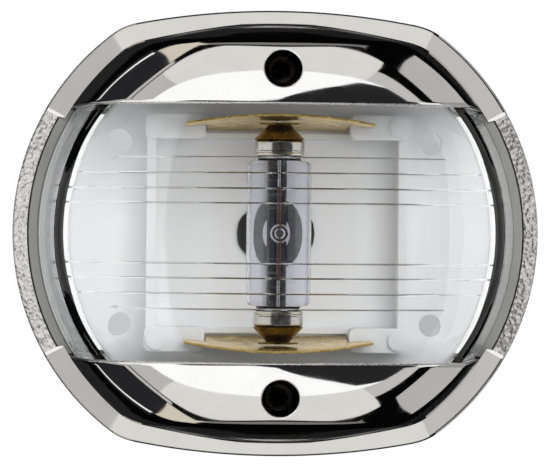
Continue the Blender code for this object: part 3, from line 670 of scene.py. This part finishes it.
def screw_well(bm, side):
    """The well of one cover screw: rounded mouth, bore, seat with its hole, and outer tube."""
    centre_z = side * SCREW_HEIGHT
    mouth = WELL_BORE + EDGE_ROUND
    steps = WELL_STEPS
    rows = []

    def ring(radius, depth_rule):
        points = []
        for step in range(steps):
            a = 2 * math.pi * step / steps
            x, z = radius * math.cos(a), centre_z + radius * math.sin(a)
            points.append(Vector((x, -depth_rule(x, z), z)))
        return points

    for radius, drop in bezier((mouth, 0.0), (WELL_BORE, 0.0), (WELL_BORE, EDGE_ROUND * 1.4), 5):
        rows.append(ring(radius, lambda x, z, drop=drop: front_depth(x, z, 0) - drop))
    rows.append(ring(WELL_BORE, lambda x, z: SEAT_DEPTH + 0.25 * MM))
    rows.append(ring(WELL_BORE - 0.25 * MM, lambda x, z: SEAT_DEPTH))
    rows.append(ring(SCREW_HOLE, lambda x, z: SEAT_DEPTH))
    rows.append(ring(SCREW_HOLE, lambda x, z: SEAT_DEPTH - SEAT_THICKNESS))
    rows.append(ring(WELL_BORE + WELL_WALL, lambda x, z: SEAT_DEPTH - SEAT_THICKNESS))
    rows.append(ring(WELL_BORE + WELL_WALL, lambda x, z: front_depth(x, z, COVER_WALL * 0.6)))
    rows.append(ring(mouth, lambda x, z: front_depth(x, z, COVER_WALL * 0.3)))
    made = rows_of(bm, rows)
    bridge_rows(bm, made + made[:1], closed=True)


def cover_hoods(polished, edge):
    """Both hoods with their screw wells."""
    bm = bmesh.new()
    for side in (1, -1):
        hood(bm, side)
    hoods = make_piece("cover_hood_shells", bm, [polished, edge])
    mouth = WELL_BORE + EDGE_ROUND
    for side in (1, -1):
        profile = [(0, 0), (mouth, 0), (mouth, FRONT_DEPTH), (0, FRONT_DEPTH)]
        centre = Vector((0, -0.03, side * SCREW_HEIGHT))
        cut_with(hoods, turned(profile, OUTWARDS, centre, WELL_STEPS))
    bm = bmesh.new()
    for side in (1, -1):
        screw_well(bm, side)
    wells = make_piece("cover_wells", bm, [polished, edge])
    bm = bmesh.new()
    bm.from_mesh(hoods.data)
    bm.from_mesh(wells.data)
    for old in (hoods, wells):
        bpy.data.objects.remove(old, do_unlink=True)
    mesh = bpy.data.meshes.new("cover_hoods")
    bm.to_mesh(mesh)
    bm.free()
    for surface in (polished, edge):
        mesh.materials.append(surface)
    cover = bpy.data.objects.new("cover_hoods", mesh)
    bpy.context.scene.collection.objects.link(cover)
    mesh.shade_smooth()
    mesh.set_sharp_from_angle(angle=math.radians(40))
    return cover


def cover_flange(polished, cast):
    """The flange, which the hoods' walls don't mirror: they show the dark room behind it."""
    bm = bmesh.new()
    flange(bm)
    ring = make_piece("cover_flange", bm, [polished, cast], math.radians(40))
    ring.visible_glossy = False
    return ring


# ---------------------------------------------------------------- the lens
RIB_LINES = (5.1 * MM, 7.6 * MM, 10.2 * MM, 12.8 * MM)
RIB_REACH = (39.0 * MM, 38.2 * MM, 34.5 * MM, 28.5 * MM)
RIB_HEIGHT = 0.07 * MM
BEAD_HEIGHT = 0.2 * MM
BEAD_WIDTH = 0.13 * MM
LENS_END = 30.4 * MM


def rib_height(x, z):
    """How far the ribbed inner face stands in: a shallow tooth up to each line, and a bead along the line."""
    height = abs(z)
    starts = (0.5 * RIB_LINES[0],) + RIB_LINES[:-1]
    stand = 0.0
    for start, line, reach in zip(starts, RIB_LINES, RIB_REACH):
        fade = min(max((reach - abs(x)) / (1.5 * MM), 0), 1)
        if start < height < line:
            stand += fade * RIB_HEIGHT * (height - start) / (line - start)
        stand += fade * BEAD_HEIGHT * max(1 - abs(height - line) / BEAD_WIDTH, 0)
    return stand


def lens_heights():
    """Heights of the lens's slices, close together at each riser."""
    heights = [LENS_END * step / 74 for step in range(75)]
    for line in RIB_LINES:
        heights = [h for h in heights if abs(h - line) > 0.2 * MM]
        heights += [line + BEAD_WIDTH * step / 2 for step in (-2, -1, 0, 1, 2)]
    heights = sorted(heights)
    return [-h for h in reversed(heights[1:])] + heights


def lens_slice(z, inset, foot_depth):
    """Points across the lens at one height, from the left foot to the right one."""
    foot = width_at(abs(z), outline_reach, FLANGE_WIDTH + inset)
    top = width_at(abs(z), wall_top_reach, inset)
    is_inner = inset == LENS_INNER_INSET

    def on_front(x):
        rib = rib_height(x, z) if is_inner else 0.0
        return front_depth(x, z, inset) - rib

    half = dome_side(foot, foot_depth, top, on_front, 8, 8, 44)
    left = [Vector((-x, -depth, z)) for x, depth in half]
    right = [Vector((x, -depth, z)) for x, depth in reversed(half[:-1])]
    return left + right


def lens_piece(surface):
    """The drum lens, ribbed inside, with a flat end hidden under each hood."""
    bm = bmesh.new()
    heights = lens_heights()
    outer = rows_of(bm, [lens_slice(z, LENS_INSET, LENS_FOOT) for z in heights])
    limit = width_limit(LENS_INNER_INSET)
    inner_heights = [max(min(z, limit), -limit) for z in heights]
    inner = rows_of(bm, [lens_slice(z, LENS_INNER_INSET, LENS_FOOT) for z in inner_heights])
    bridge_rows(bm, outer)
    bridge_rows(bm, inner)
    for end in (0, -1):
        bridge_rows(bm, [[row[end] for row in outer], [row[end] for row in inner]])
        bridge_rows(bm, [outer[end], inner[end]])
    piece = make_piece("lens_drum", bm, [surface], math.radians(30))
    for side in (1, -1):
        radius = WELL_BORE + WELL_WALL + GAP
        profile = [(0, 0), (radius, 0), (radius, 0.04), (0, 0.04)]
        centre = Vector((0, -(SEAT_DEPTH - SEAT_THICKNESS - 2 * GAP), side * SCREW_HEIGHT))
        cut_with(piece, turned(profile, OUTWARDS, centre, 72), math.radians(30))
    return piece


def width_limit(inset):
    """Height at which the inner face of the lens's end lies."""
    return WALL_TOP_HALF_Z - inset - 0.2 * MM


# ---------------------------------------------------------------- screws, bulb and contacts
HEAD_HEIGHT = 2.0 * MM
HEAD_STEPS = 10
SHANK_RADIUS = 1.5 * MM
THREAD_TURNS = 24
THREAD_PITCH = 0.5 * MM
RECESS_ARM = 1.65 * MM
RECESS_WIDTH = 0.42 * MM
RECESS_DEPTH = 1.5 * MM
RECESS_TURN = 0.35
CAP_SHOULDER = 15.8 * MM
CUP_MOUTH = 16.05 * MM


def cover_screw(side, surface):
    """Pan head screw with a cross recess and a turned thread below."""
    low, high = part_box("cover_screw_top" if side > 0 else "cover_screw_bottom")
    centre = Vector((0, 0, side * SCREW_HEIGHT))
    top, end = -low.y, -high.y
    head_radius = (high.x - low.x) / 2
    under = top - HEAD_HEIGHT
    root, core = SHANK_RADIUS * 0.8, SHANK_RADIUS * 0.85
    thread_start = end + 0.7 * MM
    profile = [(0, end), (SHANK_RADIUS * 0.6, end), (SHANK_RADIUS * 0.82, end + 0.6 * MM)]
    for k in range(THREAD_TURNS):
        base = thread_start + k * THREAD_PITCH
        profile += [(root, base), (SHANK_RADIUS, base + THREAD_PITCH * 0.5)]
    profile += [(core, thread_start + THREAD_TURNS * THREAD_PITCH), (core, under)]
    profile += [(head_radius * 0.97, under), (head_radius, under + 0.12 * MM)]
    profile += [(head_radius, under + HEAD_HEIGHT * 0.3)]
    for step in range(1, HEAD_STEPS + 1):
        a = math.pi / 2 * step / HEAD_STEPS
        radius = head_radius * math.cos(a) ** 0.8 if step < HEAD_STEPS else 0
        profile.append((radius, under + HEAD_HEIGHT * (0.3 + 0.7 * math.sin(a))))
    name = f"screw_{'top' if side > 0 else 'bottom'}"
    piece = make_piece(name, turned(profile, OUTWARDS, centre, 72), [surface])
    for turn in (RECESS_TURN, RECESS_TURN + math.pi / 2):
        bm = bmesh.new()
        bmesh.ops.create_cube(bm, size=1)
        for vert in bm.verts:
            taper = 0.35 if vert.co.y > 0 else 1.0
            along = vert.co.x * 2 * RECESS_ARM * taper
            across = vert.co.z * 2 * RECESS_WIDTH * (0.6 + 0.4 * taper)
            vert.co = Vector((along, vert.co.y * 2 * RECESS_DEPTH, across))
        turn_matrix = Matrix.Translation(centre + OUTWARDS * top) @ Matrix.Rotation(turn * side, 4, "Y")
        bmesh.ops.transform(bm, matrix=turn_matrix, verts=bm.verts)
        cut_with(piece, bm)
    return piece


def glass_tube(surface):
    """Festoon bulb's glass: a drawn tube necked in at both ends, with its sealed tip facing out."""
    radius = GLASS_HIGH.x
    half = GLASS_HIGH.z
    wall = 0.55 * MM
    neck = 3.6 * MM
    shoulder = 13.2 * MM
    straight = 11.4 * MM
    curve_middle = ((neck + radius) / 2, 12.7 * MM)
    outer = [(neck, half), (neck, shoulder + 0.3 * MM)]
    outer += bezier((neck, shoulder), (neck + 0.1 * MM, shoulder - 0.5 * MM), curve_middle, 6)
    outer += bezier(curve_middle, (radius, 12.5 * MM), (radius, straight), 8)[1:]
    outer += [(r, -h) for r, h in reversed(outer)]
    inner = [(r - wall, h) for r, h in reversed(outer)]
    return make_piece("bulb_envelope", turned(outer + inner, UPWARDS, BULB_CENTRE, 128), [surface])


def glass_tip(surface):
    """Sealed exhaust tip: a small nipple of glass on the front of the tube."""
    tip_front = -GLASS_LOW.y
    root = BULB_DEPTH + GLASS_HIGH.x - 0.1 * MM
    rise = tip_front - root
    profile = [(0, root), (1.6 * MM, root)]
    profile += bezier((1.65 * MM, root + rise * 0.2), (1.6 * MM, root + rise), (1.05 * MM, root + rise), 8)
    profile += bezier((0.95 * MM, root + rise), (0.8 * MM, root + rise * 0.55), (0.0, root + rise * 0.5), 8)
    return make_piece("bulb_tip", turned(profile, OUTWARDS, Vector((0, 0, 0)), 64), [surface])


def bulb_cap(side, surface):
    """Pressed end cap: rolled rim, straight skirt, and a cone down to a blunt point."""
    radius = CAP_HIGH.x
    start, end = CAP_LOW.z - 0.3 * MM, CAP_HIGH.z
    wall = 0.3 * MM
    shoulder = CAP_SHOULDER
    outer = [(radius - 0.1 * MM, start), (radius, start + 0.15 * MM), (radius, start + 0.45 * MM)]
    outer += [(radius - 0.12 * MM, start + 0.6 * MM), (radius - 0.12 * MM, start + 0.8 * MM)]
    outer += [(radius, start + 0.95 * MM)]
    round_end = (radius - 0.5 * MM, shoulder + 0.15 * MM)
    outer += bezier((radius, shoulder - 0.3 * MM), (radius, shoulder), round_end, 5)
    outer += [(radius - 0.75 * MM, shoulder + 0.2 * MM)]
    outer += bezier((1.2 * MM, end - 0.5 * MM), (0.9 * MM, end), (0.0, end), 6)
    inner = [(0, shoulder - 0.3 * MM), (radius - 2 * wall, shoulder - 0.4 * MM)]
    inner += [(radius - wall, shoulder - 0.7 * MM), (radius - wall, start)]
    name = f"bulb_cap_pressed_{'top' if side > 0 else 'bottom'}"
    return make_piece(name, turned(outer + inner, UPWARDS * side, BULB_CENTRE, 96), [surface])


def contact_cup(side, surface):
    """Pressed brass cup: a cone that takes the cap's end, with a flange against the leaf."""
    mouth, neck = CUP_MOUTH, CUP_HIGH.z - 0.3 * MM
    mouth_radius, neck_radius, flange_radius = 4.3 * MM, 1.9 * MM, 3.4 * MM
    wall, bore = 0.35 * MM, 1.15 * MM
    outer = [(mouth_radius, mouth)] + bezier(
        (neck_radius + 0.25 * MM, neck - 0.28 * MM), (neck_radius, neck), (neck_radius + 0.3 * MM, neck), 4
    )
    outer += [(flange_radius - 0.06 * MM, neck), (flange_radius, neck + 0.08 * MM)]
    outer += [(flange_radius, CUP_HIGH.z), (bore, CUP_HIGH.z), (bore, neck)]
    inner = [(neck_radius - wall, neck - 0.2 * MM), (mouth_radius - wall, mouth)]
    inner += [(mouth_radius - wall / 2, mouth - 0.06 * MM)]
    name = f"contact_cup_pressed_{'top' if side > 0 else 'bottom'}"
    return make_piece(name, turned(outer + inner, UPWARDS * side, BULB_CENTRE, 96), [surface])


def main():
    steel = mirror_polished_cast_steel()
    cast = as_cast_steel()
    edge = plated_metal("ground_steel_edge", "#A9A8A4", "#F2F1EE", 0.18, 0.4, 0.35 * MM)
    lens_surface = clear_polycarbonate()
    glass = bulb_glass()
    nylon = moulded_surface("moulded_white_nylon", "#E3E4E6", "#EEEFF1", 0.42, 0.15 * MM, 0.004 * MM)
    seal = moulded_surface("grey_silicone_seal", "#5C5C59", "#6E6E6A", 0.6, 0.12 * MM, 0.01 * MM)
    acetal = moulded_surface("moulded_black_acetal", "#08080A", "#131316", 0.2, 0.2 * MM, 0.003 * MM)
    rubber = moulded_surface("black_nitrile_rubber", "#141414", "#242424", 0.62, 0.2 * MM, 0.012 * MM)
    brass = rolled_sheet_brass()
    # Darker copy of the leaves' brass for the contact cups: the darkness is painted shade on the cones
    shaded_brass = plated_metal("pressed_brass_painted_shade", "#4A3A14", "#8E7530", 0.22, 0.42, 1.2 * MM)
    nickel = plated_metal("nickel_plated_brass", "#B9B6AE", "#D9D7D1", 0.1, 0.24, 0.8 * MM)
    black_steel = plated_metal("black_oxide_steel", "#131312", "#2E2D2B", 0.18, 0.42, 0.5 * MM)
    tungsten = plated_metal("drawn_tungsten", "#5A4038", "#8F6F62", 0.3, 0.5, 0.1 * MM)

    stand_for(cover_hoods(steel, edge), "cover_housing")
    ride_along(cover_flange(steel, cast), "cover")
    lens = stand_for(lens_piece(lens_surface), "lens")
    lens.visible_shadow = False
    for place, side in (("top", 1), ("bottom", -1)):
        stand_for(cover_screw(side, black_steel), f"cover_screw_{place}")
        stand_for(bulb_cap(side, nickel), f"bulb_cap_{place}")
        leaf = soften(f"contact_leaf_{place}", brass, 0.08 * MM, 2)
        stand_for(leaf, f"contact_leaf_{place}")
        stand_for(contact_cup(side, shaded_brass), f"contact_cup_{place}")
        frame["nodes"][f"threaded_insert_{place}"].data.materials[0] = brass
        frame["nodes"][f"screw_seal_{place}"].data.materials[0] = rubber
        frame["nodes"][f"lead_wire_{place}"].data.materials[0] = nickel
    frame["nodes"]["filament"].data.materials[0] = tungsten
    envelope = stand_for(glass_tube(glass), "bulb_glass")
    envelope.visible_shadow = False
    tip = glass_tip(glass)
    ride_along(tip, "bulb")
    tip.visible_shadow = False
    stand_for(soften("base_tray", nylon, 0.12 * MM, 2, flatten=False), "base_tray")
    stand_for(soften("wire_cover", acetal, 0.25 * MM), "wire_cover")
    stand_for(soften("lens_seal", seal, 0.15 * MM), "lens_seal")
    stand_for(soften("cable_grommet", rubber, 0.2 * MM), "cable_grommet")
    stand_for(soften("bulkhead_gasket", rubber, 0.2 * MM), "bulkhead_gasket")
    build_stage()


# ---------------------------------------------------------------- stage, light and camera
WALL_CARD_HALF = 0.034
WALL_CARD_PLACE = 0.0005
FLOOR_HEIGHT = -0.12
BACKDROP_RADIUS = 4.0
DARK_ROOM_DISTANCE = 3.0
PATCH_DISTANCE = 2.9
PATCH_SPACING = 0.01
OPENING_DISTANCE = 1.6
DAYLIGHT_STRENGTH = 1.45
CAMERA_DISTANCE = 0.76
CAMERA_SIDE = -0.023
CAMERA_LENS = 280.0
CAMERA_ROLL = math.radians(0.5)


def glow(name, tone, strength):
    """A plain light-giving surface for the studio."""
    made = bpy.data.materials.new(name)
    made.use_nodes = True
    tree = made.node_tree
    tree.nodes.clear()
    light = add_node(tree, "ShaderNodeEmission", {"Color": colour(tone), "Strength": strength})
    out = add_node(tree, "ShaderNodeOutputMaterial")
    tree.links.new(light.outputs[0], out.inputs["Surface"])
    return made


def stage_mesh(name, bm, surface, rays):
    """A studio piece that only the named kinds of ray see."""
    mesh = bpy.data.meshes.new(name)
    bm.to_mesh(mesh)
    bm.free()
    mesh.materials.append(surface)
    made = bpy.data.objects.new(name, mesh)
    bpy.context.scene.collection.objects.link(made)
    for kind in ("camera", "diffuse", "glossy", "transmission", "shadow", "volume_scatter"):
        setattr(made, f"visible_{kind}", kind in rays)
    return made


def studio_direction(off_front, round_front):
    """Direction at this angle off straight ahead (-Y), turned this far round from +X towards +Z."""
    t, a = math.radians(off_front), math.radians(round_front)
    return Vector((math.sin(t) * math.cos(a), -math.cos(t), math.sin(t) * math.sin(a)))


def studio_band(name, off_front, round_front, surface, distance):
    """Part of a ring round the light's front, between two angles off it and two angles round it."""
    bm = bmesh.new()
    rows = []
    steps = max(2, int(abs(round_front[1] - round_front[0]) / 6))
    for i in range(9):
        t = off_front[0] + (off_front[1] - off_front[0]) * i / 8
        row = []
        for j in range(steps + 1):
            a = round_front[0] + (round_front[1] - round_front[0]) * j / steps
            row.append(bm.verts.new(studio_direction(t, a) * distance))
        rows.append(row)
    bridge_rows(bm, rows)
    return stage_mesh(name, bm, surface, ("glossy",))


def studio_screen(name, outline, surface, distance, rays):
    """A flat screen in front, with its outline in tangents of the angles right and up."""
    bm = bmesh.new()
    bm.faces.new([bm.verts.new((u * distance, -distance, w * distance)) for u, w in outline])
    return stage_mesh(name, bm, surface, rays)


DARK_SCREEN = (
    (-0.75, 0.0),
    (-0.6, 0.52),
    (-0.39, 0.63),
    (0.0, 0.7),
    (0.22, 0.9),
    (0.5, 1.1),
    (0.72, 1.3),
    (1.05, 1.28),
    (1.38, 0.95),
    (1.6, 0.5),
    (1.68, 0.0),
)
# Pale parts of the studio above the light: angles off the front, angles round it, sRGB tone and strength.
# Each has a twin below.
STUDIO_PATCHES = (
    ("strip_light_right", (45, 84), (0, 24), "#FFFFFF", 1.25),
    ("tent_side_right", (59, 70), (24, 60), "#F0F0EF", 0.82),
    ("tent_side_top", (59, 84), (60, 126), "#FBFAF8", 1.0),
    ("tent_side_left", (59, 84), (126, 156), "#F0F0EF", 0.75),
    ("strip_light_left", (45, 84), (156, 180), "#FFFFFF", 1.25),
    ("lens_side_right", (84, 140), (0, 18), "#EFEFED", 0.6),
    ("lens_side_left", (84, 140), (162, 180), "#EFEFED", 0.6),
    ("right_window_low", (87, 126), (8, 34), "#F4F4F2", 0.45),
    ("right_window_high", (87, 126), (34, 53), "#F4F4F2", 0.68),
    ("top_slit", (90, 101), (68, 104), "#F0F0EE", 0.3),
    ("cream_top", (92, 114), (104, 122), "#FFF6E6", 0.85),
    ("left_streak", (86, 91), (120, 160), "#F4F4F2", 0.75),
    ("left_charcoal", (93, 126), (122, 165), "#2B2B2E", 1.0),
    ("left_lamp", (113, 117), (123, 150), "#FFFFFF", 1.3),
)


def build_studio():
    """What the polished cover mirrors: a dark room behind, pale patches beside, a dark opening in front."""
    black = glow("black_velvet", "#050505", 1.0)
    charcoal = glow("charcoal_screen", "#2B2B2D", 1.0)
    studio_band("dark_room", (59, 179.5), (0, 360), black, DARK_ROOM_DISTANCE)
    for order, (name, off_front, round_front, tone, strength) in enumerate(STUDIO_PATCHES):
        surface = glow(name, tone, strength)
        distance = PATCH_DISTANCE - PATCH_SPACING * order
        studio_band(name + "_upper", off_front, round_front, surface, distance)
        studio_band(name + "_lower", off_front, tuple(-a for a in round_front), surface, distance)
    outline = DARK_SCREEN + tuple((u, -w) for u, w in DARK_SCREEN[-2:0:-1])
    studio_screen("camera_opening", outline, charcoal, OPENING_DISTANCE, ("glossy", "transmission"))


FILL_POWER = 16.5
FILL_PLACE = Vector((0.25, -1.2, 0.25))
FILL_SIZE = 0.9


def fill_light():
    """Soft lamp in front that lights the white tray and doesn't show in the polish."""
    data = bpy.data.lights.new("fill_light", "AREA")
    data.energy = FILL_POWER
    data.size = FILL_SIZE
    lamp = bpy.data.objects.new("fill_light", data)
    aim = (-FILL_PLACE).to_track_quat("-Z", "Y").to_matrix().to_4x4()
    lamp.matrix_world = Matrix.Translation(FILL_PLACE) @ aim
    lamp.visible_glossy = False
    lamp.visible_camera = False
    lamp.visible_transmission = False
    bpy.context.scene.collection.objects.link(lamp)


def build_stage():
    scene = bpy.context.scene
    world = bpy.data.worlds.new("soft_daylight")
    scene.world = world
    world.use_nodes = True
    background = world.node_tree.nodes["Background"]
    background.inputs["Color"].default_value = colour("#FAFBFD")
    background.inputs["Strength"].default_value = DAYLIGHT_STRENGTH
    build_studio()
    fill_light()

    floor = bmesh.new()
    bmesh.ops.create_grid(floor, x_segments=8, y_segments=8, size=3.0)
    bmesh.ops.translate(floor, verts=floor.verts, vec=(0, 0, FLOOR_HEIGHT))
    backdrop = bmesh.new()
    bmesh.ops.create_icosphere(backdrop, subdivisions=4, radius=BACKDROP_RADIUS)
    pale = glow("pale_backdrop", "#FFFFFF", 1.02)
    stage_mesh("pale_floor", floor, pale, ("camera",))
    stage_mesh("pale_backdrop", backdrop, pale, ("camera", "transmission"))
    # Card on the wall side, seen through the lens in the tray's holes: it glows a fixed grey, painted shade
    # of a white wall in shadow
    wall = bmesh.new()
    bmesh.ops.create_grid(wall, x_segments=1, y_segments=1, size=WALL_CARD_HALF)
    bmesh.ops.rotate(wall, verts=wall.verts, matrix=Matrix.Rotation(math.pi / 2, 3, "X"))
    bmesh.ops.scale(wall, verts=wall.verts, vec=(1.0, 1.0, 0.6))
    bmesh.ops.translate(wall, verts=wall.verts, vec=(0, WALL_CARD_PLACE, 0))
    stage_mesh("painted_shade_wall", wall, glow("painted_shade_wall", "#BFC2C4", 1.0), ("transmission",))

    camera_data = bpy.data.cameras.new("camera")
    camera_data.lens = CAMERA_LENS
    camera_data.sensor_width = 36.0
    camera_data.clip_start = 0.01
    camera = bpy.data.objects.new("camera", camera_data)
    place = Vector((CAMERA_SIDE, -CAMERA_DISTANCE, 0))
    look = (-place).to_track_quat("-Z", "Y").to_matrix().to_4x4()
    camera.matrix_world = Matrix.Translation(place) @ look @ Matrix.Rotation(CAMERA_ROLL, 4, "Z")
    scene.collection.objects.link(camera)
    scene.camera = camera
    scene.view_settings.view_transform = "Standard"


main()
